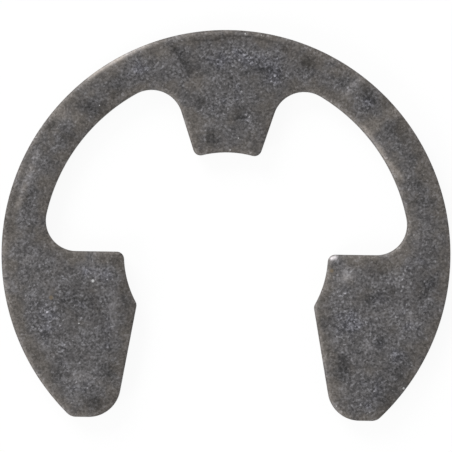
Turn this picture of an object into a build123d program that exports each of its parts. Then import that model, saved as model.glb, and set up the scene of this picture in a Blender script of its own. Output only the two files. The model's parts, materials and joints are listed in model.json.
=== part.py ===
from build123d import *
import math
import os

# An E type retaining ring (e clip) for a 3/8 in shaft, blanked from spring steel strip.
# Millimetres. The ring lies flat on XY in its free state, and Z is the axis of the shaft
# that it grips. Its mouth opens towards -Y, and its middle prong hangs from the crown, at +Y.
# The face with the rolled edge, which met the die, is up, and the burr face is at Z = 0.

# ---- Strip and gauge circles --------------------------------------------------------
THICKNESS = 0.889             # strip, 0.035 in
OUTSIDE_D = 16.76             # free outside diameter, 0.660 in
SEAT_D = 7.62                 # free diameter of the three seats, 0.300 in
BEAM_WIDTH = 1.51             # the springy bow from foot to foot, round the two windows

# ---- Middle prong -------------------------------------------------------------------
PRONG_TIP_WIDTH = 2.50        # across the flanks, level with the top of the seat circle
PRONG_FLANK_ANGLE = 18.2      # each flank from the centre line, widening to the crown
PRONG_ROOT_R = 1.17           # inner corner of a window, where the prong joins the bow

# ---- Shoulders, which carry the two side seats --------------------------------------
SHOULDER_RISE = 0.05          # their upper edges above the axis of the shaft
SHOULDER_ROOT_R = 1.14        # inner corner of a window, where the shoulder joins the bow

# ---- Mouth and feet -----------------------------------------------------------------
NOSE_DROP = 1.90              # the noses, which snap over the shaft, below its axis
MOUTH_FLARE_ANGLE = 10.1      # each flank from the centre line, widening downwards
FOOT_WIDTH = 1.65             # a foot's flat end, out to the outside circle
FOOT_LEAD_R = 1.19            # inner corner of a foot, which leads the shaft in
FOOT_HEEL_R = 0.45            # outer corner of a foot

# ---- Rounding of the six corners that meet the shaft --------------------------------
TIP_R = 0.28                  # prong tip, shoulder tips and noses

# ---- Sheared edge, from the top face down -------------------------------------------
ROLL_WIDTH = 0.16             # how far the rolled edge reaches in over the top face
ROLL_DEPTH = 0.08             # how far it falls
BURNISH_HEIGHT = 0.33         # the straight land that the punch wiped smooth
FRACTURE_ANGLE = 3.0          # lean of the torn part of the edge, inwards to the burr face
DEBURR_R = 0.04               # the burr edge, rounded by tumbling

OUTSIDE_R = OUTSIDE_D / 2
SEAT_R = SEAT_D / 2
WINDOW_R = OUTSIDE_R - BEAM_WIDTH
NOSE_HALF_GAP = math.sqrt(SEAT_R**2 - NOSE_DROP**2)
PRONG_LEAN = math.tan(math.radians(PRONG_FLANK_ANGLE))
MOUTH_LEAN = math.tan(math.radians(MOUTH_FLARE_ANGLE))
FRACTURE_HEIGHT = THICKNESS - ROLL_DEPTH - BURNISH_HEIGHT
FRACTURE_LEAN = FRACTURE_HEIGHT * math.tan(math.radians(FRACTURE_ANGLE))


def prong_half_width(y):
    """Half the prong's width at height y, before its corners are rounded."""
    return PRONG_TIP_WIDTH / 2 + (y - SEAT_R) * PRONG_LEAN


def mouth_half_width(y):
    """Half the mouth's width at height y, which is negative below the shaft's axis."""
    return NOSE_HALF_GAP - (y + NOSE_DROP) * MOUTH_LEAN


def foot_end():
    """Where a foot's flat end meets the outside circle, as (x, y).

    It is FOOT_WIDTH out from the mouth's flank, so it lies on the flank's line moved out by
    that much: x = start + MOUTH_LEAN * drop, on the circle x**2 + drop**2 = OUTSIDE_R**2.
    """
    start = mouth_half_width(0) + FOOT_WIDTH
    a = 1 + MOUTH_LEAN**2
    b = start * MOUTH_LEAN
    c = start**2 - OUTSIDE_R**2
    drop = (math.sqrt(b**2 - a * c) - b) / a
    return start + MOUTH_LEAN * drop, -drop


def wedge(half_width, low, high):
    """A shape symmetric about the centre line, whose half width is a function of height."""
    right = [(half_width(low), low), (half_width(high), high)]
    left = [(-x, y) for x, y in reversed(right)]
    return make_face(Polyline(*right, *left, close=True))


def half_plane(y, side):
    """All of the strip above height y with Align.MIN, or below it with Align.MAX."""
    return Pos(0, y) * Rectangle(2 * OUTSIDE_D, 2 * OUTSIDE_D, align=(Align.CENTER, side))


def windows():
    """The room inside the bow and above the shoulders, with the prong left hanging in it."""
    above_shoulders = Circle(WINDOW_R) & half_plane(SHOULDER_RISE, Align.MIN)
    prong = wedge(prong_half_width, SEAT_R / 2, OUTSIDE_R)
    return above_shoulders - prong


def mouth():
    """The flared way in from below. It ends on the shaft's axis, inside the seat circle."""
    return wedge(mouth_half_width, -OUTSIDE_R, 0)


def corner_pair(sketch, x, y):
    """The sketch's corners nearest to (x, y) and to its mirror image."""
    return [
        min(sketch.vertices(), key=lambda corner: math.dist((corner.X, corner.Y), spot))
        for spot in ((x, y), (-x, y))
    ]


def outline():
    """The ring as it is cut from the strip: a disc less its openings, corners rounded."""
    heel_x, foot_y = foot_end()
    ring = Circle(OUTSIDE_R) - half_plane(foot_y, Align.MAX)
    ring = ring - windows() - mouth() - Circle(SEAT_R)
    corners = (
        (prong_half_width(WINDOW_R), WINDOW_R, PRONG_ROOT_R),
        (prong_half_width(SEAT_R), SEAT_R, TIP_R),
        (WINDOW_R, SHOULDER_RISE, SHOULDER_ROOT_R),
        (SEAT_R, SHOULDER_RISE, TIP_R),
        (NOSE_HALF_GAP, -NOSE_DROP, TIP_R),
        (mouth_half_width(foot_y), foot_y, FOOT_LEAD_R),
        (heel_x, foot_y, FOOT_HEEL_R),
    )
    for x, y, radius in corners:
        ring = fillet(corner_pair(ring, x, y), radius)
    return ring


def faces_up(ring):
    """The ring's faces from the burr face, first, to the top face, last."""
    return ring.faces().sort_by(Axis.Z)


def torn(ring):
    """The ring with the lower part of its edge leaning in, as far down as the burr face."""
    burr_face = faces_up(ring)[0]
    return chamfer(burr_face.edges(), FRACTURE_LEAN, FRACTURE_HEIGHT, reference=burr_face)


def rolled(ring):
    """The ring with its upper edge drawn down by the punch: a long bevel, rounded at both ends."""
    top = faces_up(ring)[-1]
    ring = chamfer(top.edges(), ROLL_WIDTH, ROLL_DEPTH, reference=top)
    bevel_foot = ring.edges().group_by(Axis.Z)[-3]    # below its mitres and its upper edges
    ring = fillet(bevel_foot, ROLL_DEPTH)
    return fillet(faces_up(ring)[-1].edges(), ROLL_WIDTH)


def e_clip():
    """The ring with its sheared edge: roll, burnished land, fracture and tumbled burr edge."""
    ring = rolled(torn(extrude(outline(), THICKNESS)))
    return fillet(faces_up(ring)[0].edges(), DEBURR_R)


os.makedirs("parts", exist_ok=True)
clip = e_clip()
clip.label = "e_clip"
export_step(clip, "parts/e_clip.step")
print(f"e_clip: {len(clip.solids())} solid, {len(clip.faces())} faces, {clip.volume:.2f} mm3")
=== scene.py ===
"""An E type retaining ring (e clip) of phosphated spring steel, lying flat, seen from above.

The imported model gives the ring's outside circle, its feet, its thickness and its seat circle.
The visible ring is one closed skin worked out from those and from the die's sizes below: two
ruled grids, for the top and the burr face, joined by the sheared edge's section carried round
the outline. All sizes here are in millimetres, and meshes are written in metres.
"""

from __future__ import annotations

import json
import logging
import math
from dataclasses import dataclass, field
from enum import Enum
from typing import Sequence

import bpy
import numpy as np
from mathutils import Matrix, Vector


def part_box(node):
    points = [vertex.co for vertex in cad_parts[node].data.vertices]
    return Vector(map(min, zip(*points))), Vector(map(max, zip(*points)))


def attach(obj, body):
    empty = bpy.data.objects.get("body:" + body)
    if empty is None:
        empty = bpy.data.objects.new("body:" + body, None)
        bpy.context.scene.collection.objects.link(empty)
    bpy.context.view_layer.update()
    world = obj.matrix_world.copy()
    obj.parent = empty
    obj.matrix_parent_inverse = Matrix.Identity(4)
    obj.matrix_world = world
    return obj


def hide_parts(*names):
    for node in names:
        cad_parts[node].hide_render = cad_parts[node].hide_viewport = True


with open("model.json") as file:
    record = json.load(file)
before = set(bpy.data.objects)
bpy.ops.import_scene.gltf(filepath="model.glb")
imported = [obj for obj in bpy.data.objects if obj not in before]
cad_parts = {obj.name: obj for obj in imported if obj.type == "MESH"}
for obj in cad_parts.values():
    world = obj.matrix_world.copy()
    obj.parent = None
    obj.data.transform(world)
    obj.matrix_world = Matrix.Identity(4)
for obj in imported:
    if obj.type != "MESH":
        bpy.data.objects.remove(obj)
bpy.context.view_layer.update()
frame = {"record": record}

MM = 0.001
NODE = "e_clip"
log = logging.getLogger("e_clip")


# ---- Outline of the ring -------------------------------------------------------------


def unit(vector: np.ndarray) -> np.ndarray:
    """The vector, or each row of an array of them, at length one."""
    return vector / np.linalg.norm(vector, axis=-1, keepdims=True)


def turned_right(way: np.ndarray) -> np.ndarray:
    """The way turned a quarter to the right."""
    return np.array([way[1], -way[0]])


@dataclass(frozen=True)
class LineEdge:
    """An edge of the ring along a straight line, run with the steel on its right."""

    point: np.ndarray
    way: np.ndarray

    def moved_in(self, distance: float) -> LineEdge:
        """The line moved into the steel by a distance, or out of it by a negative one."""
        return LineEdge(self.point + distance * turned_right(self.way), self.way)

    def nearest(self, spot: np.ndarray) -> np.ndarray:
        """The line's point nearest to a spot."""
        return self.point + np.dot(spot - self.point, self.way) * self.way

    def stretch(self, start: np.ndarray, end: np.ndarray) -> Stretch:
        """The part of the edge from one of its points to another."""
        return Straight(start, end)


@dataclass(frozen=True)
class RoundEdge:
    """An edge of the ring on a circle about the shaft's axis.

    Clockwise, the steel is inside the circle. The other way round, it is outside.
    """

    radius: float
    clockwise: bool

    def moved_in(self, distance: float) -> RoundEdge:
        """The circle moved into the steel by a distance, or out of it by a negative one."""
        return RoundEdge(self.radius - distance if self.clockwise else self.radius + distance, self.clockwise)

    def nearest(self, spot: np.ndarray) -> np.ndarray:
        """The circle's point nearest to a spot."""
        return self.radius * unit(spot)

    def stretch(self, start: np.ndarray, end: np.ndarray) -> Stretch:
        """The part of the edge from one of its points to another."""
        return arc_between(np.zeros(2), start, end, self.clockwise)


@dataclass(frozen=True)
class Straight:
    """A straight stretch of the outline, run with the steel on its right."""

    start: np.ndarray
    end: np.ndarray

    @property
    def length(self) -> float:
        """The stretch's length."""
        return float(np.linalg.norm(self.end - self.start))

    def at(self, share: np.ndarray) -> tuple[np.ndarray, np.ndarray]:
        """Points along the stretch, and their normals out of the steel.

        The point at share s is start + s (end - start), and the normal is the way turned left.

        Args:
            share: How far along each point lies, from 0 to 1.

        Returns:
            The points and the unit normals, each with one row per share.
        """
        points = self.start + share[:, None] * (self.end - self.start)
        normal = -turned_right(unit(self.end - self.start))
        return points, np.broadcast_to(normal, points.shape)


@dataclass(frozen=True)
class Arc:
    """A round stretch of the outline. Its angles are in radians, and clockwise ones are negative."""

    centre: np.ndarray
    radius: float
    start: float
    sweep: float

    @property
    def length(self) -> float:
        """The stretch's length."""
        return abs(self.radius * self.sweep)

    def at(self, share: np.ndarray) -> tuple[np.ndarray, np.ndarray]:
        """Points along the stretch, and their normals out of the steel.

        The point at share s is the centre plus the radius along the angle start + s sweep. The
        normal is that ray where the stretch runs clockwise, and its opposite elsewhere.

        Args:
            share: How far along each point lies, from 0 to 1.

        Returns:
            The points and the unit normals, each with one row per share.
        """
        angle = self.start + share * self.sweep
        ray = np.stack([np.cos(angle), np.sin(angle)], axis=1)
        return self.centre + self.radius * ray, -math.copysign(1, self.sweep) * ray


Stretch = Straight | Arc
Edge = LineEdge | RoundEdge


def arc_between(centre: np.ndarray, start: np.ndarray, end: np.ndarray, clockwise: bool) -> Arc:
    """The arc about a centre from one point to another.

    Args:
        centre: The arc's centre.
        start: Its first point, which sets the radius.
        end: Its last point.
        clockwise: Which way round it runs.

    Returns:
        The arc.
    """
    first, last = (math.atan2(*(p - centre)[::-1]) for p in (start, end))
    turn = (last - first) % math.tau
    return Arc(centre, float(np.linalg.norm(start - centre)), first, turn - math.tau if clockwise else turn)


def meeting(a: Edge, b: Edge, near: np.ndarray) -> np.ndarray:
    """Where a line meets another edge of the ring.

    Two lines: solve a.point + t a.way = b.point + u b.way. A line and a circle about the axis:
    the line's foot below the axis, plus or minus half the chord along the line.

    Args:
        a: An edge. One of the two is a line.
        b: The other edge.
        near: A spot that tells which of two crossings is meant.

    Returns:
        The crossing nearest to the spot.
    """
    line, other = (a, b) if isinstance(a, LineEdge) else (b, a)
    if isinstance(other, LineEdge):
        t, _ = np.linalg.solve(np.stack([line.way, -other.way], axis=1), other.point - line.point)
        return line.point + t * line.way
    foot = line.nearest(np.zeros(2))
    half_chord = math.sqrt(other.radius**2 - foot @ foot)
    crossings = foot + np.outer([-half_chord, half_chord], line.way)
    return crossings[np.argmin(np.linalg.norm(crossings - near, axis=1))]


@dataclass(frozen=True)
class Corner:
    """A rounded corner between two edges that follow each other round the outline."""

    radius: float
    near: tuple[float, float]
    hollow: bool = False


WINDOW = 7    # the window among the inner side's stretches, counted from the foot


@dataclass
class RingOutline:
    """The ring as the die cuts it, in its free state, with its axis at the origin.

    The facing angles, from the crown, say where on the outside circle three places of the inner
    side have their partners: the shoulder's root, the prong's root and the prong's tip.
    """

    outside_r: float
    seat_r: float
    foot_y: float
    beam_width: float = 1.51
    prong_tip_width: float = 2.50
    prong_flank_angle: float = 18.2
    prong_root_r: float = 1.17
    shoulder_rise: float = 0.05
    shoulder_root_r: float = 1.14
    nose_drop: float = 1.90
    mouth_flare_angle: float = 10.1
    foot_lead_r: float = 1.19
    foot_heel_r: float = 0.45
    tip_r: float = 0.28
    shoulder_facing: float = 101.0
    prong_facing: float = 11.0
    tip_facing: float = 4.5
    spacing: float = 0.08
    least_steps: int = 7

    def edges(self) -> list[Edge]:
        """The right half's eight edges in order, clockwise from the crown to the prong's tip."""
        window_r = self.outside_r - self.beam_width
        flare, flank = math.radians(self.mouth_flare_angle), math.radians(self.prong_flank_angle)
        nose = np.array([math.sqrt(self.seat_r**2 - self.nose_drop**2), -self.nose_drop])
        prong = np.array([self.prong_tip_width / 2, self.seat_r])
        return [
            RoundEdge(self.outside_r, True),
            LineEdge(np.array([0, self.foot_y]), np.array([-1.0, 0])),
            LineEdge(nose, np.array([-math.sin(flare), math.cos(flare)])),
            RoundEdge(self.seat_r, False),
            LineEdge(np.array([0, self.shoulder_rise]), np.array([1.0, 0])),
            RoundEdge(window_r, False),
            LineEdge(prong, -np.array([math.sin(flank), math.cos(flank)])),
            RoundEdge(self.seat_r, False),
        ]

    def corners(self) -> list[Corner]:
        """The seven corners between those edges."""
        r, s = self.outside_r, self.seat_r
        return [
            Corner(self.foot_heel_r, (r, self.foot_y)),
            Corner(self.foot_lead_r, (s, self.foot_y)),
            Corner(self.tip_r, (s, -self.nose_drop)),
            Corner(self.tip_r, (s, 0)),
            Corner(self.shoulder_root_r, (r, 0), hollow=True),
            Corner(self.prong_root_r, (s / 2, r), hollow=True),
            Corner(self.tip_r, (s / 2, s)),
        ]

    def half(self) -> list[Stretch]:
        """The right half of the outline, as stretches that run into each other tangentially.

        A corner's centre is where its two edges would meet if both were moved into the steel by
        its radius, or out of it at a hollow corner. Its arc starts and ends at the points of the
        two edges nearest to that centre.

        Returns:
            Fifteen stretches: edge, corner, edge and so on, from the crown to the prong's tip.
        """
        edges, stretches = self.edges(), []
        start = np.array([0, self.outside_r])
        for (a, b), corner in zip(zip(edges, edges[1:]), self.corners()):
            depth = -corner.radius if corner.hollow else corner.radius
            centre = meeting(a.moved_in(depth), b.moved_in(depth), np.array(corner.near))
            end, follow = a.nearest(centre), b.nearest(centre)
            stretches += [a.stretch(start, end), arc_between(centre, end, follow, not corner.hollow)]
            start = follow
        return stretches + [edges[-1].stretch(start, np.array([0, self.seat_r]))]


def walk(stretches: Sequence[Stretch], distance: np.ndarray) -> tuple[np.ndarray, np.ndarray]:
    """Points and normals at distances along a run of stretches.

    Args:
        stretches: The stretches, each starting where the one before it ends.
        distance: How far along the run each point lies.

    Returns:
        The points and the unit normals out of the steel, with one row per distance.
    """
    ends = np.cumsum([0.0] + [s.length for s in stretches])
    which = np.clip(np.searchsorted(ends, distance, side="right") - 1, 0, len(stretches) - 1)
    points, normals = np.empty((len(distance), 2)), np.empty((len(distance), 2))
    for k, stretch in enumerate(stretches):
        mine = which == k
        points[mine], normals[mine] = stretch.at((distance[mine] - ends[k]) / stretch.length)
    return points, normals


@dataclass(frozen=True)
class Chain:
    """A row of stations along one side of the ring, from foot to foot."""

    points: np.ndarray
    normals: np.ndarray

    def inset(self, distance: float | np.ndarray) -> np.ndarray:
        """The stations moved into the steel by a distance."""
        return self.points - self.normals * distance


def both_halves(points: np.ndarray, normals: np.ndarray) -> Chain:
    """A chain from foot to foot, given its right half from the foot to the centre line.

    Args:
        points: The right half's stations, the last one on the centre line.
        normals: Their unit normals.

    Returns:
        The left half, which mirrors the right one, followed by the right half turned round.
    """
    mirror = np.array([-1.0, 1.0])
    return Chain(*(np.concatenate([rows * mirror, rows[-2::-1]]) for rows in (points, normals)))


def facing_chains(outline: RingOutline) -> tuple[Chain, Chain]:
    """The outer and the inner side of the ring, station facing station.

    The inner side is walked in even steps on each stretch. The outer side's stations keep the
    same proportion between the places that face each other: the foot, the shoulder's root, both
    ends of the window, the prong's root, its tip and the centre line.

    Args:
        outline: The ring's outline.

    Returns:
        The outer chain and the inner chain, with as many stations each.
    """
    half = outline.half()
    outer, inner = half[1::-1], half[3:]
    steps = [max(outline.least_steps, math.ceil(s.length / outline.spacing)) for s in inner]
    starts = np.cumsum([0.0] + [s.length for s in inner])
    distance = np.concatenate(
        [np.linspace(a, b, n, endpoint=False) for a, b, n in zip(starts, starts[1:], steps)] + [starts[-1:]]
    )
    window = inner[WINDOW]
    radial = [math.pi / 2 - angle for angle in (window.start, window.start + window.sweep)]
    partners = (outline.shoulder_facing, outline.prong_facing, outline.tip_facing)
    turns = [math.radians(angle) for angle in partners]
    spans = starts[[0, WINDOW - 1, WINDOW, WINDOW + 1, WINDOW + 2, WINDOW + 3, -1]]
    crown_angles = np.array([turns[0], *radial, *turns[1:], 0.0])
    facing = np.concatenate([[outer[0].length + outer[1].length], crown_angles * outline.outside_r])
    from_crown = np.interp(distance, spans, facing)
    return (
        both_halves(*walk(half[:2], from_crown)),
        both_halves(*walk(inner, distance)),
    )


# ---- Handling marks and painted light ------------------------------------------------


@dataclass(frozen=True)
class SmudgeOrPaintedLight:
    """A soft mark on the upper face, at a spot or along a straight run from it.

    The shade is a change in tone, darker below zero. The warmth runs from blue-grey, at -1, to
    brown, at 1. Most marks are stains, rubbed spots and patches of crystals; a few are painted
    highlights and painted shade.
    """

    x: float
    y: float
    width: float
    shade: float
    warmth: float = 0.0
    run: tuple[float, float] = (0.0, 0.0)

    def cover(self, points: np.ndarray) -> np.ndarray:
        """How much of the mark lies at each point.

        The cover is exp(-(gap / width)^2), where the gap is the distance to the mark's run.

        Args:
            points: Points on the face, one row each.

        Returns:
            The cover, 1 on the run and falling to 0 round it.
        """
        start, run = np.array([self.x, self.y]), np.array(self.run)
        share = np.clip((points - start) @ run / max(float(run @ run), 1e-9), 0, 1)
        gap = np.linalg.norm(points - start - share[:, None] * run, axis=1)
        return np.exp(-((gap / self.width) ** 2))


def smudge_and_painted_light_fields(points: np.ndarray) -> tuple[np.ndarray, np.ndarray]:
    """The sums of the shades of all marks, painted highlights and painted shade among them, and of their
    warmths at each point.
    """
    cover = np.stack([each_mark.cover(points) for each_mark in SMUDGES_AND_PAINTED_LIGHT])
    return np.array([s.shade for s in SMUDGES_AND_PAINTED_LIGHT]) @ cover, np.array([s.warmth for s in SMUDGES_AND_PAINTED_LIGHT]) @ cover


# How strongly a mark shows, and its tint.
FAINT = 0.3
CLEAR = 0.5
STRONG = 0.8
# the lift of a painted highlight on a corner that faces the key lamp
PAINTED_HIGHLIGHT = 1.5
BROWN = 0.7
BLUE = -1.0

# Each is x, y, width, shade and warmth, and how far it runs from there, in millimetres.
SMUDGES_AND_PAINTED_LIGHT = (
    # dark stains on the crown
    SmudgeOrPaintedLight(-2.0, 7.65, 0.2, -STRONG, BROWN),
    SmudgeOrPaintedLight(-1.75, 7.4, 0.15, -CLEAR, run=(0.35, -0.5)),
    SmudgeOrPaintedLight(1.3, 6.9, 0.15, -FAINT, run=(0.4, 0.1)),
    SmudgeOrPaintedLight(2.1, 7.7, 0.2, -CLEAR, BROWN),
    SmudgeOrPaintedLight(2.9, 7.15, 0.3, -STRONG, BROWN),
    # brown scale along the crest
    SmudgeOrPaintedLight(-1.4, 8.0, 0.12, -FAINT, BROWN, run=(1.8, 0.1)),
    # dark stains on the prong
    SmudgeOrPaintedLight(-1.0, 5.65, 0.2, -STRONG, BROWN),
    SmudgeOrPaintedLight(0.45, 5.2, 0.25, -STRONG, BROWN),
    SmudgeOrPaintedLight(-0.6, 4.35, 0.25, -STRONG, BROWN),
    # dark stains on the bow's left side
    SmudgeOrPaintedLight(-5.4, 5.55, 0.25, -CLEAR, run=(0.6, -0.25)),
    SmudgeOrPaintedLight(-4.15, 6.5, 0.25, -FAINT, run=(0.0, -0.5)),
    SmudgeOrPaintedLight(-6.65, 4.7, 0.2, -CLEAR),
    SmudgeOrPaintedLight(-5.8, 4.35, 0.25, -FAINT),
    SmudgeOrPaintedLight(-7.55, 3.4, 0.25, -FAINT),
    SmudgeOrPaintedLight(-7.35, 2.2, 0.15, -CLEAR, run=(-0.2, -0.4)),
    SmudgeOrPaintedLight(-8.0, 2.2, 0.2, -FAINT, BROWN, run=(-0.2, -1.4)),
    # darker marks on the bow's right side, away from the key lamp: painted shade along the outer rim, and
    # stains
    SmudgeOrPaintedLight(4.2, 6.5, 0.25, -FAINT),
    SmudgeOrPaintedLight(5.1, 6.25, 0.25, -CLEAR, run=(0.2, -0.4)),
    SmudgeOrPaintedLight(5.9, 5.7, 0.2, -CLEAR, BROWN),
    SmudgeOrPaintedLight(6.0, 4.85, 0.3, -FAINT, run=(0.4, -0.2)),
    SmudgeOrPaintedLight(6.6, 4.3, 0.2, -FAINT, run=(0.3, 0.0)),
    SmudgeOrPaintedLight(7.15, 3.8, 0.15, -CLEAR),
    SmudgeOrPaintedLight(7.2, 2.7, 0.2, -CLEAR),
    SmudgeOrPaintedLight(7.0, 2.1, 0.2, -FAINT, run=(0.6, 0.0)),
    # dark stains on the left foot
    SmudgeOrPaintedLight(-4.2, -0.3, 0.2, -CLEAR),
    SmudgeOrPaintedLight(-3.8, -1.2, 0.2, -FAINT, run=(0.1, -0.8)),
    SmudgeOrPaintedLight(-5.9, -1.8, 0.5, -FAINT, run=(0.9, 0.0)),
    SmudgeOrPaintedLight(-6.9, -3.85, 0.2, -FAINT, BROWN),
    SmudgeOrPaintedLight(-6.3, -4.55, 0.25, -CLEAR),
    SmudgeOrPaintedLight(-4.3, -4.4, 0.3, -CLEAR),
    SmudgeOrPaintedLight(-4.8, -5.6, 0.3, -STRONG),
    # dark stains on the right foot
    SmudgeOrPaintedLight(5.7, -0.5, 0.35, -FAINT, BROWN),
    SmudgeOrPaintedLight(6.2, -1.3, 0.2, -CLEAR, BROWN),
    SmudgeOrPaintedLight(5.4, -1.6, 0.2, -CLEAR),
    SmudgeOrPaintedLight(7.3, -1.7, 0.3, -FAINT, run=(0.3, 0.6)),
    SmudgeOrPaintedLight(3.6, -1.6, 0.25, -FAINT, BROWN),
    SmudgeOrPaintedLight(3.7, -2.5, 0.2, -CLEAR),
    SmudgeOrPaintedLight(5.8, -3.2, 0.2, -STRONG),
    SmudgeOrPaintedLight(4.4, -3.9, 0.25, -STRONG, run=(0.0, -0.5)),
    SmudgeOrPaintedLight(6.9, -3.6, 0.3, -FAINT, run=(-0.8, -1.8)),
    # painted highlight on the crown's upper-left rim, where the rolled edge faces the key lamp, and a light
    # line down the left side
    SmudgeOrPaintedLight(-5.2, 6.6, 0.12, STRONG, run=(2.2, 1.3)),
    SmudgeOrPaintedLight(-7.1, 3.7, 0.12, CLEAR, run=(-0.7, -2.0)),
    # light bands across the bow
    SmudgeOrPaintedLight(-6.2, 5.2, 0.3, FAINT, BROWN, run=(0.6, -0.2)),
    SmudgeOrPaintedLight(-6.4, 4.5, 0.15, FAINT),
    SmudgeOrPaintedLight(4.9, 6.6, 0.15, CLEAR, run=(-0.5, -0.55)),
    SmudgeOrPaintedLight(6.2, 5.45, 0.25, FAINT, BROWN, run=(-0.8, -0.6)),
    SmudgeOrPaintedLight(5.1, 4.85, 0.1, CLEAR, run=(1.4, -1.9)),
    # light spots on the feet
    SmudgeOrPaintedLight(-7.4, -0.3, 0.2, CLEAR),
    SmudgeOrPaintedLight(-4.2, -1.5, 0.2, FAINT, run=(0.0, -1.0)),
    SmudgeOrPaintedLight(-6.8, -3.55, 0.2, CLEAR),
    SmudgeOrPaintedLight(-5.2, -4.6, 0.3, CLEAR),
    SmudgeOrPaintedLight(-5.7, -5.6, 0.25, FAINT),
    SmudgeOrPaintedLight(4.5, -0.75, 0.3, STRONG),
    SmudgeOrPaintedLight(6.3, -0.8, 0.25, FAINT),
    SmudgeOrPaintedLight(6.9, -2.3, 0.2, CLEAR),
    SmudgeOrPaintedLight(5.4, -3.4, 0.2, CLEAR),
    # painted highlight on the right foot's corner, where the rounded corner faces the key lamp
    SmudgeOrPaintedLight(3.95, -0.1, 0.09, PAINTED_HIGHLIGHT, BLUE, run=(0.15, 0.05)),
    # patches of blue-grey crystals
    SmudgeOrPaintedLight(-0.3, 7.2, 0.5, 0.0, BLUE),
    SmudgeOrPaintedLight(0.9, 7.3, 0.6, 0.0, BLUE, run=(0.7, -0.4)),
    SmudgeOrPaintedLight(-3.2, 6.8, 0.5, 0.0, BLUE),
    SmudgeOrPaintedLight(5.3, 5.9, 0.4, 0.0, BLUE),
    SmudgeOrPaintedLight(-5.2, -0.6, 0.35, FAINT, BLUE, run=(0.7, -0.1)),
    SmudgeOrPaintedLight(-6.8, -2.6, 0.6, 0.0, BLUE),
    SmudgeOrPaintedLight(4.6, -2.4, 0.6, 0.0, BLUE),
    SmudgeOrPaintedLight(7.6, -1.0, 0.3, -FAINT, BLUE),
    SmudgeOrPaintedLight(6.5, -3.7, 0.35, 0.0, BLUE),
    SmudgeOrPaintedLight(5.8, -4.7, 0.3, 0.0, BLUE, run=(-0.4, -0.8)),
    # bare brown patches and margins
    SmudgeOrPaintedLight(-1.2, 6.5, 0.4, 0.0, BROWN),
    SmudgeOrPaintedLight(3.95, -0.5, 0.2, 0.0, BROWN),
    SmudgeOrPaintedLight(7.4, 3.4, 0.35, 0.0, BROWN),
    SmudgeOrPaintedLight(-7.9, -1.8, 0.2, 0.0, BROWN, run=(0.7, -2.0)),
)


# ---- Skin of the ring ----------------------------------------------------------------


@dataclass
class ShearedEdge:
    """The blanked edge's section: burr edge, torn part, wiped land and rolled upper edge."""

    thickness: float
    roll_width: float = 0.07
    roll_depth: float = 0.05
    roll_reach: float = 0.20
    roll_foot: float = 0.10
    burnish_height: float = 0.33
    tear_waver: float = 0.022
    fracture_angle: float = 3.0
    deburr_r: float = 0.04
    burr_rows: int = 4
    torn_rows: int = 4
    roll_rows: int = 9

    def tear_line(self, along: np.ndarray) -> np.ndarray:
        """Heights where the tear begins, wavering along the edge.

        The height is the nominal one plus three sine waves of unlike lengths, so that no stretch
        repeats another by eye.

        Args:
            along: Distance round the outline.

        Returns:
            One height per distance.
        """
        nominal = self.thickness - self.roll_depth - self.burnish_height
        round_once = math.tau * along / len(along)
        waves = ((9, 0.0, 0.5), (31, 1.7, 0.3), (74, 4.1, 0.2))
        waver = sum(share * np.sin(n * round_once + lag) for n, lag, share in waves)
        return nominal + self.tear_waver * waver

    def rows(self, along: np.ndarray) -> tuple[np.ndarray, np.ndarray]:
        """The section at every station of the outline, from the burr face to the top face.

        The burr edge is a quarter circle. The tear leans: depth = (tear line - height) times the
        lean's tangent. The land is upright. The roll is a cubic Bezier curve on four points: its
        foot on the land, the bevel's two ends and its reach on the top face.

        Args:
            along: Distance round the outline.

        Returns:
            Depths into the steel and heights, each with one row per row of the section.
        """
        lean = math.tan(math.radians(self.fracture_angle))
        tear, one = self.tear_line(along), np.ones_like(along)
        depth, height = [self.roll_reach * one], [0 * one]
        for turn in np.linspace(0, math.pi / 2, self.burr_rows):
            depth.append((tear - self.deburr_r) * lean + self.deburr_r * (1 - math.sin(turn)))
            height.append(self.deburr_r * (1 - math.cos(turn)) * one)
        for share in np.linspace(0, 1, self.torn_rows)[1:]:
            height.append(self.deburr_r + share * (tear - self.deburr_r))
            depth.append((tear - height[-1]) * lean)
        t = np.linspace(0, 1, self.roll_rows)[:, None]
        weights = np.hstack([(1 - t) ** 3, 3 * t * (1 - t) ** 2, 3 * t**2 * (1 - t), t**3])
        top = self.thickness
        roll = weights @ np.array(
            [
                [0, top - self.roll_foot],
                [0, top - self.roll_depth],
                [self.roll_width, top],
                [self.roll_reach, top],
            ]
        )
        depth += [u * one for u in roll[:, 0]]
        height += [z * one for z in roll[:, 1]]
        return np.stack(depth), np.stack(height)

    @property
    def first_land_row(self) -> int:
        """The section's row where the wiped land begins."""
        return self.burr_rows + self.torn_rows - 1

    @property
    def first_roll_row(self) -> int:
        """The section's row where the roll begins."""
        return self.first_land_row + 1


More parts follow.
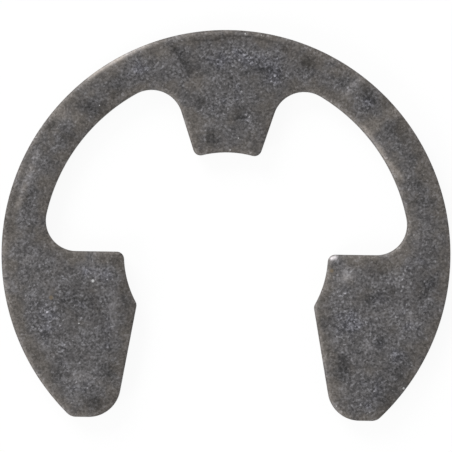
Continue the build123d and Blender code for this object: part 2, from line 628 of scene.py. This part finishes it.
@dataclass
class RingSkin:
    """The whole ring as one closed skin."""

    outline: RingOutline
    edge: ShearedEdge
    columns: int = 56
    crown_depth: float = 0.045
    crown_width: float = 0.50

    def dishing(self, depth: np.ndarray) -> np.ndarray:
        """Share of its height that the steel keeps, where blanking drew the rim of the face down.

        The fall is the crown's depth times exp(-(depth / crown width)^2), so it is widest and
        softest beyond the roll.

        Args:
            depth: Distance in from the outline.

        Returns:
            A factor just under one at the rim, and one in the middle of the face.
        """
        return 1 - self.crown_depth / self.edge.thickness * np.exp(-((depth / self.crown_width) ** 2))

    def grid(self, outer: Chain, inner: Chain) -> np.ndarray:
        """A ruled grid over the face: each row runs straight from the outer to the inner side."""
        share = np.linspace(0, 1, self.columns + 1)[None, :, None]
        reach = self.edge.roll_reach
        return (1 - share) * outer.inset(reach)[:, None] + share * inner.inset(reach)[:, None]

    def border(self, stations: int) -> np.ndarray:
        """Indices of the grid's border vertices, once round: outer side, foot, inner side, foot."""
        index = np.arange(stations * (self.columns + 1)).reshape(stations, self.columns + 1)
        return np.concatenate([index[:, 0], index[-1, 1:-1], index[::-1, -1], index[0, -2:0:-1]])

    def rim(self, outer: Chain, inner: Chain) -> Chain:
        """The outline once round, in step with the grid's border."""
        share = np.linspace(0, 1, self.columns + 1)[1:-1, None]
        feet = [(1 - share) * outer.points[end] + share * inner.points[end] for end in (-1, 0)]
        down = np.broadcast_to([0.0, -1.0], feet[0].shape)
        points = np.concatenate([outer.points, feet[0], inner.points[::-1], feet[1][::-1]])
        normals = np.concatenate([outer.normals, down, inner.normals[::-1], down])
        return Chain(points, normals)

    def to_rim(self, grid: np.ndarray, rim: Chain) -> np.ndarray:
        """Each grid vertex's distance in from the outline, column by column of the grid."""
        columns = grid.swapaxes(0, 1)
        gap = [np.linalg.norm(column[:, None] - rim.points[None], axis=2).min(axis=1) for column in columns]
        return np.stack(gap, axis=1)

    def build(self) -> bpy.types.Object:
        """Works out the skin and makes the ring's object.

        Returns:
            The object, with its place in its mesh, the attribute rim (distance in from the
            outline in millimetres) and the attribute torn (1 below the tear line).
        """
        outer, inner = facing_chains(self.outline)
        grid, rim = self.grid(outer, inner), self.rim(outer, inner)
        stations, across, _ = grid.shape
        border, face_size = self.border(stations), stations * across
        depth, height = self.edge.rows(np.arange(len(border), dtype=float))
        gap = self.to_rim(grid, rim)
        gap.reshape(-1)[border] = self.edge.roll_reach
        top = self.edge.thickness * self.dishing(gap)
        band = rim.points - rim.normals * depth[:, :, None]
        band_height = height * self.dishing(depth)
        middle = slice(1, len(depth) - 1)
        flat = grid.reshape(-1, 2)
        points = np.vstack(
            [
                np.column_stack([flat, top.reshape(-1)]),
                np.column_stack([flat, np.zeros(face_size)]),
                np.column_stack([band[middle].reshape(-1, 2), band_height[middle].reshape(-1)]),
            ]
        )
        rows = 2 * face_size + np.arange(band[middle].shape[0] * len(border)).reshape(-1, len(border))
        rows = np.vstack([face_size + border, rows, border])
        quads, finish = self.faces(stations, across, face_size, rows)
        piece = self.make_object(points, quads, finish)
        inward = np.concatenate([gap.reshape(-1), gap.reshape(-1), depth[middle].reshape(-1)])
        self.attribute(piece, "rim", inward)
        torn = np.zeros_like(depth[middle])
        torn[: self.edge.first_land_row - 1] = 1
        self.attribute(piece, "torn", np.concatenate([np.zeros(2 * face_size), torn.reshape(-1)]))
        upper = points[:, 2] > self.edge.thickness / 2
        for name, values in zip(("shade", "warmth"), smudge_and_painted_light_fields(points[:, :2])):
            self.attribute(piece, name, values * upper)
        return piece

    def faces(
        self, stations: int, across: int, face_size: int, rows: np.ndarray
    ) -> tuple[np.ndarray, np.ndarray]:
        """The skin's quads, all facing out, and the finish that each takes.

        Args:
            stations: Rows of a grid.
            across: Vertices in each of them.
            face_size: Vertices of a grid.
            rows: Vertex indices of the band, one row per row of the section.

        Returns:
            Four vertex indices per quad, and 0 for the faces' finish or 1 for the sheared edge's.
        """
        index = np.arange(face_size).reshape(stations, across)
        a, b, c, d = index[:-1, :-1], index[:-1, 1:], index[1:, 1:], index[1:, :-1]
        top = np.stack([a, b, c, d], axis=-1).reshape(-1, 4)
        burr = face_size + top[:, ::-1]
        ahead = np.roll(rows, -1, axis=1)
        band = np.stack([rows[:-1], rows[1:], ahead[1:], ahead[:-1]], axis=-1)
        sheared = np.zeros(band.shape[:2], dtype=np.int32)
        sheared[1 : self.edge.first_roll_row] = 1
        finish = np.concatenate([np.zeros(2 * len(top), dtype=np.int32), sheared.reshape(-1)])
        return np.vstack([top, burr, band.reshape(-1, 4)]), finish

    def make_object(self, points: np.ndarray, quads: np.ndarray, finish: np.ndarray) -> bpy.types.Object:
        """The ring's object from its vertices in millimetres, its quads and their finishes."""
        mesh = bpy.data.meshes.new("spring_steel_ring")
        mesh.from_pydata((points * MM).tolist(), [], quads.tolist())
        mesh.polygons.foreach_set("material_index", finish)
        mesh.polygons.foreach_set("use_smooth", np.ones(len(quads), dtype=bool))
        mesh.update()
        piece = bpy.data.objects.new("spring_steel_ring", mesh)
        bpy.context.scene.collection.objects.link(piece)
        return piece

    def attribute(self, piece: bpy.types.Object, name: str, values: np.ndarray) -> None:
        """Keeps one number per vertex with the piece, for its materials to read."""
        layer = piece.data.attributes.new(name, "FLOAT", "POINT")
        layer.data.foreach_set("value", values.astype(np.float32))


# ---- Node trees ----------------------------------------------------------------------

BUMP_DEPTH = 0.01 * MM


class Wiring:
    """Adds nodes to one tree and joins them, so that a finish reads as a list of its steps."""

    def __init__(self, tree: bpy.types.NodeTree) -> None:
        """Starts on a tree, which keeps what it already holds."""
        self.tree = tree

    def node(self, kind: str, **settings: object) -> bpy.types.Node:
        """A new node of a kind, with its own settings."""
        made = self.tree.nodes.new(kind)
        for name, value in settings.items():
            setattr(made, name, value)
        return made

    def feed(self, socket: bpy.types.NodeSocket, source: object) -> None:
        """Links a socket to a source, or writes a plain value on it."""
        if isinstance(source, bpy.types.NodeSocket):
            self.tree.links.new(source, socket)
        else:
            socket.default_value = source

    def math(self, operation: str, *values: object, clamp: bool = False) -> bpy.types.NodeSocket:
        """The result of a Math node."""
        made = self.node("ShaderNodeMath", operation=operation, use_clamp=clamp)
        for socket, value in zip(made.inputs, values):
            self.feed(socket, value)
        return made.outputs[0]

    def vector(self, operation: str, a: object, b: object) -> bpy.types.NodeSocket:
        """The result of a Vector Math node, a number for DISTANCE and DOT_PRODUCT."""
        made = self.node("ShaderNodeVectorMath", operation=operation)
        self.feed(made.inputs[0], a)
        self.feed(made.inputs[1], b)
        return made.outputs["Value" if operation in ("DISTANCE", "DOT_PRODUCT") else "Vector"]

    def span(
        self, value: object, low: object, high: object, start: object = 0.0, end: object = 1.0
    ) -> bpy.types.NodeSocket:
        """A value eased from one range to another, and held at its ends."""
        made = self.node("ShaderNodeMapRange", interpolation_type="SMOOTHSTEP")
        names = ("Value", "From Min", "From Max", "To Min", "To Max")
        for name, source in zip(names, (value, low, high, start, end)):
            self.feed(made.inputs[name], source)
        return made.outputs["Result"]

    def colour(self, factor: object, a: object, b: object, mode: str = "MIX") -> bpy.types.NodeSocket:
        """Two colours blended by a factor."""
        made = self.node("ShaderNodeMix", data_type="RGBA", blend_type=mode, clamp_factor=True)
        for place, source in ((0, factor), (6, a), (7, b)):
            self.feed(made.inputs[place], source)
        return made.outputs[2]

    def noise(
        self, where: object, scale: object, detail: float = 2.0, roughness: float = 0.5, bend: float = 0.0
    ) -> bpy.types.NodeSocket:
        """A noise about one half, scale cells to the unit."""
        made = self.node("ShaderNodeTexNoise")
        names = ("Vector", "Scale", "Detail", "Roughness", "Distortion")
        for name, source in zip(names, (where, scale, detail, roughness, bend)):
            self.feed(made.inputs[name], source)
        return made.outputs["Fac"]

    def group(self, tree: bpy.types.NodeTree, **inputs: object) -> bpy.types.Node:
        """A node group placed with its own values, whose names have _ for each space."""
        made = self.node("ShaderNodeGroup", node_tree=tree)
        for name, source in inputs.items():
            self.feed(made.inputs[name.replace("_", " ")], source)
        return made

    def product(self, *values: object) -> bpy.types.NodeSocket:
        """All the values multiplied together."""
        result = values[0]
        for value in values[1:]:
            result = self.math("MULTIPLY", result, value)
        return result

    def attribute(self, name: str) -> bpy.types.NodeSocket:
        """A number kept with the piece, one per vertex."""
        return self.node("ShaderNodeAttribute", attribute_name=name).outputs["Fac"]

    def bump(self, shader: bpy.types.Node, strength: float, height: object) -> None:
        """Gives a shader a relief of BUMP_DEPTH from a height."""
        made = self.node("ShaderNodeBump")
        for name, source in (("Strength", strength), ("Distance", BUMP_DEPTH), ("Height", height)):
            self.feed(made.inputs[name], source)
        self.feed(shader.inputs["Normal"], made.outputs["Normal"])


Sockets = Sequence[tuple[str, str]]


def new_group(name: str, inputs: Sockets, outputs: Sockets) -> tuple[Wiring, dict, dict]:
    """An empty shader node group with named sockets.

    Args:
        name: The group's name.
        inputs: Name and kind of each input: Float, Vector or Color.
        outputs: The same for each output.

    Returns:
        The wiring of its tree, its input sources by name, and its output sockets by name.
    """
    tree = bpy.data.node_groups.new(name, "ShaderNodeTree")
    for in_out, sockets in (("INPUT", inputs), ("OUTPUT", outputs)):
        for label, kind in sockets:
            tree.interface.new_socket(label, in_out=in_out, socket_type=f"NodeSocket{kind}")
    wiring = Wiring(tree)
    entry, leave = wiring.node("NodeGroupInput"), wiring.node("NodeGroupOutput")
    return wiring, dict(entry.outputs.items()), dict(leave.inputs.items())


# ---- Effects that the finishes share -------------------------------------------------


def crystal_coat() -> bpy.types.NodeTree:
    """The grain of a phosphate coat: fine crystals that catch the light, in patches.

    Returns:
        A group with inputs Where, Crystals, Patches and Strength. It puts out Tone, a factor
        about one, and Height.
    """
    w, take, give = new_group(
        "crystal coat",
        [("Where", "Vector"), ("Crystals", "Float"), ("Patches", "Float"), ("Strength", "Float")],
        [("Tone", "Float"), ("Height", "Float")],
    )
    fine = w.noise(take["Where"], w.math("MULTIPLY", take["Crystals"], 0.8), detail=2.0, roughness=0.8)
    flakes = w.node("ShaderNodeTexVoronoi", feature="F1")
    w.feed(flakes.inputs["Vector"], take["Where"])
    w.feed(flakes.inputs["Scale"], w.math("MULTIPLY", take["Crystals"], 1.1))
    flake = w.node("ShaderNodeSeparateColor")
    w.feed(flake.inputs[0], flakes.outputs["Color"])
    glint = w.math("MULTIPLY", w.math("POWER", flake.outputs[1], 8.0), 0.18)
    patch = w.noise(take["Where"], take["Patches"], detail=3.0, roughness=0.9, bend=0.4)
    centred = w.math("SUBTRACT", fine, 0.67)
    grain = w.math("ADD", w.math("MULTIPLY_ADD", flake.outputs[0], 0.3, centred), glint)
    swell = w.math("MULTIPLY_ADD", grain, take["Strength"], w.math("MULTIPLY_ADD", patch, 1.5, -0.75))
    w.feed(give["Tone"], w.math("EXPONENT", w.math("MULTIPLY", swell, 0.96)))
    w.feed(give["Height"], w.math("MULTIPLY_ADD", flake.outputs[0], 0.4, fine))
    return w.tree


def cloudiness() -> bpy.types.NodeTree:
    """Soft clouds of uneven oil and handling, as a factor about one.

    Returns:
        A group with inputs Where, Size and Depth. It puts out Tone.
    """
    w, take, give = new_group(
        "clouds of oil", [("Where", "Vector"), ("Size", "Float"), ("Depth", "Float")], [("Tone", "Float")]
    )
    cloud = w.noise(take["Where"], take["Size"], detail=3.0, roughness=0.55, bend=0.6)
    w.feed(give["Tone"], w.math("MULTIPLY_ADD", w.math("SUBTRACT", cloud, 0.5), take["Depth"], 1.0))
    return w.tree


def rubbed_rim() -> bpy.types.NodeTree:
    """Where handling and tumbling have rubbed the coat thin along the rim.

    Returns:
        A group with inputs Rim, the distance in from the outline, Reach and Where. It puts out
        Bare, from 0 in the field to 1 at the rim, with a ragged border.
    """
    w, take, give = new_group(
        "rubbed rim", [("Rim", "Float"), ("Reach", "Float"), ("Where", "Vector")], [("Bare", "Float")]
    )
    ragged = w.noise(take["Where"], 3500.0, detail=3.0, roughness=0.6)
    share = w.math("DIVIDE", take["Rim"], take["Reach"])
    worn = w.math("ADD", share, w.math("MULTIPLY_ADD", ragged, 0.8, -0.4))
    w.feed(give["Bare"], w.span(worn, 1.0, 0.0))
    return w.tree


# Marks count a tenth of a height, so a dished face still takes them, and the other face doesn't.
HEIGHT_SQUEEZE = (1.0, 1.0, 0.1)


def streak_mask() -> bpy.types.NodeTree:
    """One narrow line on a face: the gap to a straight run, with a ragged border.

    Returns:
        A group with inputs Where, Start, Run and Width. It puts out Mask.
    """
    w, take, give = new_group(
        "streak",
        [("Where", "Vector"), ("Start", "Vector"), ("Run", "Vector"), ("Width", "Float")],
        [("Mask", "Float")],
    )
    away = w.vector("MULTIPLY", w.vector("SUBTRACT", take["Where"], take["Start"]), HEIGHT_SQUEEZE)
    length = w.vector("DOT_PRODUCT", take["Run"], take["Run"])
    share = w.math("DIVIDE", w.vector("DOT_PRODUCT", away, take["Run"]), length, clamp=True)
    gap = w.vector("DISTANCE", away, w.vector("MULTIPLY", take["Run"], share))
    ragged = w.noise(take["Where"], 9000.0, detail=2.0, roughness=0.6)
    worn = w.math("ADD", w.math("DIVIDE", gap, take["Width"]), w.math("MULTIPLY_ADD", ragged, 1.2, -0.6))
    w.feed(give["Mask"], w.span(worn, 1.0, 0.0))
    return w.tree


def mark_mask() -> bpy.types.NodeTree:
    """One small mark on a face: a soft round spot about a centre.

    Returns:
        A group with inputs Where, Centre, Radius and Softness. It puts out Mask.
    """
    w, take, give = new_group(
        "mark",
        [("Where", "Vector"), ("Centre", "Vector"), ("Radius", "Float"), ("Softness", "Float")],
        [("Mask", "Float")],
    )
    away = w.vector("MULTIPLY", w.vector("SUBTRACT", take["Where"], take["Centre"]), HEIGHT_SQUEEZE)
    gap = w.math("SQRT", w.vector("DOT_PRODUCT", away, away))
    outer = w.math("MULTIPLY", take["Radius"], w.math("ADD", take["Softness"], 1.0))
    w.feed(give["Mask"], w.span(gap, outer, w.math("MULTIPLY", take["Radius"], 0.5)))
    return w.tree


# ---- Finishes ------------------------------------------------------------------------

Colour = tuple[float, float, float, float]


@dataclass(frozen=True)
class Effects:
    """The shared node groups, each built once."""

    crystals: bpy.types.NodeTree = field(default_factory=crystal_coat)
    clouds: bpy.types.NodeTree = field(default_factory=cloudiness)
    rubbing: bpy.types.NodeTree = field(default_factory=rubbed_rim)
    mark: bpy.types.NodeTree = field(default_factory=mark_mask)
    streak: bpy.types.NodeTree = field(default_factory=streak_mask)


def new_material(name: str) -> tuple[bpy.types.Material, Wiring, bpy.types.Node]:
    """An empty material with a Principled shader.

    Args:
        name: The material's name.

    Returns:
        The material, its tree's wiring and its shader.
    """
    material = bpy.data.materials.new(name)
    material.use_nodes = True
    material.node_tree.nodes.clear()
    wiring = Wiring(material.node_tree)
    shader, output = wiring.node("ShaderNodeBsdfPrincipled"), wiring.node("ShaderNodeOutputMaterial")
    wiring.feed(output.inputs["Surface"], shader.outputs["BSDF"])
    return material, wiring, shader


# Painted glints: bright spots painted into the colour where a crystal or a nick catches the light, as x, y
# and radius in millimetres.
PAINTED_GLINTS = (
    (-4.95, -1.05, 0.050),
    (-5.45, -2.65, 0.024),
    (-4.8, 5.5, 0.020),
    (0.6, 8.25, 0.024),
    (1.2, 8.2, 0.018),
    (0.8, 5.15, 0.018),
    (0.4, 4.35, 0.020),
    (0.1, 3.9, 0.024),
    (6.7, -4.9, 0.040),
    (4.2, -5.6, 0.020),
)


# Specks of rust, given in the same way.
RUST = (
    (-6.5, -1.7, 0.075),
    (3.95, -0.55, 0.070),
)

# Narrow dark lines of oil and scale, as x and y of the start, the run, and the width.
STREAKS = (
    (-2.02, 7.62, 0.50, -0.80, 0.095),
    (-1.50, 6.83, 0.07, -0.09, 0.160),
    (0.50, 6.75, 0.50, 0.12, 0.105),
    (1.00, 6.87, 0.55, 0.13, 0.085),
    (-1.30, 7.98, 0.45, 0.00, 0.060),
    (-0.85, 7.98, 0.35, 0.03, 0.085),
    (-0.50, 8.03, 0.60, 0.13, 0.075),
    (0.10, 8.16, 0.80, -0.03, 0.055),
    (1.00, 8.07, 0.90, -0.14, 0.070),
    (-0.45, 6.35, 0.04, -0.15, 0.070),
    (0.10, 6.60, 0.02, -0.04, 0.090),
    (0.25, 5.08, 0.45, 0.03, 0.075),
    (0.10, 4.72, 0.22, -0.10, 0.060),
    (-0.75, 4.20, 0.25, 0.00, 0.070),
)


@dataclass(frozen=True)
class PhosphateFace:
    """Dark phosphate and oil on the ring's two faces, rubbed along the rim; painted glints, highlights and
    shade.
    """

    cool: Colour = (0.0690, 0.0676, 0.0764, 1.0)
    plain: Colour = (0.0775, 0.0738, 0.0750, 1.0)
    warm: Colour = (0.0850, 0.0759, 0.0682, 1.0)
    crystal: Colour = (0.0745, 0.0745, 0.0805, 1.0)
    glint_paint: Colour = (0.42, 0.42, 0.42, 1.0)
    rust: Colour = (0.118, 0.094, 0.066, 1.0)
    streak_depth: float = 0.42
    crystals_per_m: float = 13000.0
    patches_per_m: float = 1700.0
    grain: float = 3.05
    smudge_and_painted_light_depth: float = 1.12
    clouds_per_m: float = 330.0
    cloud_depth: float = 0.38
    drift_per_m: float = 1300.0
    margin: float = 0.95
    rubbed_reach: float = 0.26
    rubbed_lift: float = 0.34
    bump_strength: float = 0.35
    roughness: float = 0.56
    metallic: float = 0.4

    def material(self, effects: Effects) -> bpy.types.Material:
        """The faces' material.

        Args:
            effects: The shared node groups.

        Returns:
            The material, which reads Object coordinates and the attributes rim, shade and
            warmth.
        """
        material, w, shader = new_material("phosphate_face")
        where = w.node("ShaderNodeTexCoord").outputs["Object"]
        rim, shade, warmth = (w.attribute(name) for name in ("rim", "shade", "warmth"))
        inward = w.span(rim, 0.0, self.margin)
        patches = w.noise(where, self.drift_per_m, detail=3.0, roughness=0.6)
        drift = w.math("MULTIPLY_ADD", patches, 4.0, -2.0)
        lean = w.math("ADD", w.math("ADD", warmth, drift), w.math("MULTIPLY_ADD", inward, -1.1, 1.2))
        depth = w.math("MULTIPLY_ADD", shade, -0.6 * self.grain, self.grain)
        coat = w.group(
            effects.crystals, Where=where, Crystals=self.crystals_per_m, Patches=self.patches_per_m,
            Strength=w.math("MULTIPLY", w.span(lean, 1.2, -1.4, 0.66, 1.38), depth),
        )
        clouds = w.group(effects.clouds, Where=where, Size=self.clouds_per_m, Depth=self.cloud_depth)
        bare = w.group(effects.rubbing, Rim=rim, Reach=self.rubbed_reach, Where=where)
        hue = w.colour(w.span(lean, 0.0, -1.2), self.plain, self.cool)
        hue = w.colour(w.span(lean, 0.0, 1.5), hue, self.warm)
        hue = w.colour(w.span(coat.outputs["Tone"], 0.9, 1.9, 0.0, 0.45), hue, self.crystal)
        # Tone of the smudges, and of the painted highlights and painted shade that the shade attribute also
        # carries.
        smudged_and_painted_light = w.math("EXPONENT", w.math("MULTIPLY", shade, self.smudge_and_painted_light_depth))
        rubbed = w.math("MULTIPLY_ADD", bare.outputs["Bare"], self.rubbed_lift, 1.0)
        streaked = w.math("MULTIPLY_ADD", self.streaks(w, effects, where), -self.streak_depth, 1.0)
        tone = w.product(coat.outputs["Tone"], clouds.outputs["Tone"], smudged_and_painted_light, rubbed, streaked)
        tinted = w.vector("MULTIPLY", hue, tone)
        rusty = w.colour(self.marks(w, effects, where, RUST), tinted, self.rust)
        # Painted glints: bright spots laid over the colour as highlights.
        glinted_colour = w.colour(self.marks(w, effects, where, PAINTED_GLINTS), rusty, self.glint_paint)
        w.feed(shader.inputs["Base Color"], glinted_colour)
        rough = w.math("MULTIPLY_ADD", w.math("SUBTRACT", coat.outputs["Height"], 0.7), 0.25, self.roughness)
        w.feed(shader.inputs["Roughness"], rough)
        w.feed(shader.inputs["Metallic"], self.metallic)
        w.bump(shader, self.bump_strength, coat.outputs["Height"])
        return material

    def streaks(self, w: Wiring, effects: Effects, where: object) -> object:
        """One mask over all the narrow lines on the upper face."""
        top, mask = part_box(NODE)[1].z, 0.0
        for x, y, run_x, run_y, width in STREAKS:
            start, run = (x * MM, y * MM, top), (run_x * MM, run_y * MM, 0.0)
            line = w.group(effects.streak, Where=where, Start=start, Run=run, Width=width * MM)
            mask = w.math("MAXIMUM", mask, line.outputs["Mask"])
        return mask

    def marks(
        self, w: Wiring, effects: Effects, where: object, spots: Sequence[tuple[float, float, float]]
    ) -> object:
        """One mask over a row of small marks on the upper face, used for the specks of rust and for the
        painted glints.

        Args:
            w: The material's wiring.
            effects: The shared node groups.
            where: The coordinates to read.
            spots: Each mark's x, y and radius in millimetres.

        Returns:
            The mask, 1 on a mark.
        """
        top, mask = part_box(NODE)[1].z, 0.0
        for x, y, radius in spots:
            centre = (x * MM, y * MM, top)
            mark = w.group(effects.mark, Where=where, Centre=centre, Radius=radius * MM, Softness=0.5)
            mask = w.math("MAXIMUM", mask, mark.outputs["Mask"])
        return mask


@dataclass(frozen=True)
class ShearedSteel:
    """The coat on the blanked edge: a wiped land with upright drag lines, and a torn part."""

    land: Colour = (0.115, 0.108, 0.100, 1.0)
    torn: Colour = (0.070, 0.067, 0.064, 1.0)
    drag_lines_per_m: float = 14000.0
    land_roughness: float = 0.36
    drag_depth: float = 0.8
    crystals_per_m: float = 9000.0
    patches_per_m: float = 900.0
    grain: float = 0.9
    clouds_per_m: float = 500.0
    cloud_depth: float = 0.5
    tear_grains_per_m: float = 12000.0
    tear_relief: float = 2.2
    bump_strength: float = 0.4
    torn_roughness: float = 0.62
    metallic: float = 0.5

    def material(self, effects: Effects) -> bpy.types.Material:
        """The sheared edge's material.

        Args:
            effects: The shared node groups.

        Returns:
            The material, which reads Object coordinates and the attribute torn.
        """
        material, w, shader = new_material("sheared_edge")
        where = w.node("ShaderNodeTexCoord").outputs["Object"]
        torn = w.attribute("torn")
        upright = w.node("ShaderNodeMapping")
        w.feed(upright.inputs["Vector"], where)
        w.feed(upright.inputs["Scale"], (1.0, 1.0, 0.04))
        drag = w.noise(upright.outputs[0], self.drag_lines_per_m, detail=2.0, roughness=0.6)
        coat = w.group(
            effects.crystals, Where=where, Crystals=self.crystals_per_m, Patches=self.patches_per_m,
            Strength=self.grain,
        )
        clouds = w.group(effects.clouds, Where=where, Size=self.clouds_per_m, Depth=self.cloud_depth)
        hue = w.colour(torn, self.land, self.torn)
        lines = w.math("MULTIPLY_ADD", w.math("SUBTRACT", drag, 0.5), self.drag_depth, 1.0)
        tone = w.product(coat.outputs["Tone"], clouds.outputs["Tone"], lines)
        w.feed(shader.inputs["Base Color"], w.vector("MULTIPLY", hue, tone))
        rough = w.math("MULTIPLY_ADD", torn, self.torn_roughness - self.land_roughness, self.land_roughness)
        w.feed(shader.inputs["Roughness"], rough)
        w.feed(shader.inputs["Metallic"], self.metallic)
        tear = w.noise(where, self.tear_grains_per_m, detail=4.0, roughness=0.7)
        w.bump(shader, self.bump_strength, w.math("ADD", w.product(tear, torn, self.tear_relief), drag))
        return material


# ---- Assembly ------------------------------------------------------------------------


@dataclass
class RetainingRing:
    """The ring: its skin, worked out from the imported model, and its two finishes."""

    face: PhosphateFace = field(default_factory=PhosphateFace)
    sheared: ShearedSteel = field(default_factory=ShearedSteel)

    def skin(self) -> RingSkin:
        """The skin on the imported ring's box and on its seat."""
        low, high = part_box(NODE)
        seat = next(m for m in frame["record"]["mounts"] if m["name"] == "seat")
        outline = RingOutline(outside_r=high.x / MM, seat_r=seat["dims"]["r_mm"], foot_y=low.y / MM)
        return RingSkin(outline, ShearedEdge(thickness=high.z / MM))

    def build(self, effects: Effects) -> bpy.types.Object:
        """Builds and dresses the ring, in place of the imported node.

        Args:
            effects: The shared node groups.

        Returns:
            The ring's object.
        """
        piece = self.skin().build()
        for finish in (self.face, self.sheared):
            piece.data.materials.append(finish.material(effects))
        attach(piece, "root")
        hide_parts(NODE)
        return piece


class Lamp(Enum):
    """The studio's two soft boxes."""

    KEY = "key"
    FILL = "fill"


@dataclass(frozen=True)
class SoftBox:
    """A square area lamp, aimed at the ring. Its bearing runs from +X towards +Y."""

    role: Lamp
    bearing: float
    elevation: float
    distance: float
    side: float
    watts: float

    def build(self) -> bpy.types.Object:
        """Hangs the lamp."""
        lamp = bpy.data.lights.new(self.role.value, "AREA")
        lamp.shape, lamp.size, lamp.energy = "SQUARE", self.side, self.watts
        holder = bpy.data.objects.new(self.role.value, lamp)
        turn, rise = math.radians(self.bearing), math.radians(self.elevation)
        flat = self.distance * math.cos(rise)
        holder.location = (flat * math.cos(turn), flat * math.sin(turn), self.distance * math.sin(rise))
        holder.rotation_euler = (math.pi / 2 - rise, 0, turn + math.pi / 2)
        bpy.context.scene.collection.objects.link(holder)
        return holder


@dataclass
class Studio:
    """Pale floor, soft light all round with a key from the upper left, and the camera overhead."""

    floor_side: float = 0.6
    sky: float = 0.6
    floor_white: float = 0.93
    lens: float = 450.0
    sensor: float = 36.0
    view_width: float = 16.86
    view_centre: tuple[float, float] = (-0.0145, 1.063)
    view_turn: float = 0.807
    lamps: tuple[SoftBox, ...] = (
        SoftBox(Lamp.KEY, 125.0, 35.0, 0.5, 0.25, 2.2),
        SoftBox(Lamp.FILL, -140.0, 35.0, 0.5, 0.25, 1.35),
    )

    def floor(self) -> bpy.types.Object:
        """The floor: white to the camera and in reflections, and still shaded by the ring."""
        half = self.floor_side / 2
        mesh = bpy.data.meshes.new("floor")
        corners = [(-half, -half, 0), (half, -half, 0), (half, half, 0), (-half, half, 0)]
        mesh.from_pydata(corners, [], [(0, 1, 2, 3)])
        floor = bpy.data.objects.new("floor", mesh)
        bpy.context.scene.collection.objects.link(floor)
        material = bpy.data.materials.new("pale_floor")
        material.use_nodes = True
        material.node_tree.nodes.clear()
        w = Wiring(material.node_tree)
        kinds = ("ShaderNodeBsdfDiffuse", "ShaderNodeEmission", "ShaderNodeMixShader")
        matt, glow, mixed = (w.node(kind) for kind in kinds)
        w.feed(matt.inputs["Color"], (0.8, 0.8, 0.8, 1.0))
        path = w.node("ShaderNodeLightPath")
        seen = w.math("ADD", path.outputs["Is Camera Ray"], path.outputs["Is Glossy Ray"])
        seen = w.math("ADD", seen, path.outputs["Is Transmission Ray"], clamp=True)
        w.feed(mixed.inputs[0], w.math("MULTIPLY", seen, self.floor_white))
        w.feed(mixed.inputs[1], matt.outputs[0])
        w.feed(mixed.inputs[2], glow.outputs[0])
        output = w.node("ShaderNodeOutputMaterial")
        w.feed(output.inputs["Surface"], mixed.outputs[0])
        mesh.materials.append(material)
        return floor

    def air(self) -> None:
        """An even pale world, white to the camera."""
        world = bpy.data.worlds.new("studio_air")
        world.use_nodes = True
        world.node_tree.nodes.clear()
        w = Wiring(world.node_tree)
        path = w.node("ShaderNodeLightPath")
        sky = w.node("ShaderNodeBackground")
        w.feed(sky.inputs["Color"], (1.0, 1.0, 1.0, 1.0))
        w.feed(sky.inputs["Strength"], w.math("MAXIMUM", path.outputs["Is Camera Ray"], self.sky))
        w.feed(w.node("ShaderNodeOutputWorld").inputs["Surface"], sky.outputs[0])
        bpy.context.scene.world = world

    def camera(self) -> bpy.types.Object:
        """The camera, straight above the ring, with its upper face filling the view."""
        data = bpy.data.cameras.new("camera")
        data.lens, data.sensor_width, data.clip_start = self.lens, self.sensor, 0.01
        camera = bpy.data.objects.new("camera", data)
        _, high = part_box(NODE)
        x, y = self.view_centre
        rise = self.view_width * self.lens / self.sensor
        camera.location = (x * MM, y * MM, high.z + rise * MM)
        camera.rotation_euler = (0, 0, math.radians(self.view_turn))
        bpy.context.scene.collection.objects.link(camera)
        bpy.context.scene.camera = camera
        return camera

    def build(self) -> None:
        """Sets up the floor, the air, the lamps and the camera."""
        self.floor()
        self.air()
        for lamp in self.lamps:
            lamp.build()
        self.camera()
        bpy.context.scene.view_settings.view_transform = "Standard"


def main() -> None:
    """Builds the ring and the studio, and reports each piece."""
    logging.basicConfig(level=logging.INFO, format="%(name)s: %(message)s")
    ring = RetainingRing().build(Effects())
    log.info("%s: %d faces, %s", ring.name, len(ring.data.polygons), [m.name for m in ring.data.materials])
    studio = Studio()
    studio.build()
    log.info("studio: floor, air, %d lamps and camera", len(studio.lamps))


if __name__ == "__main__":
    main()
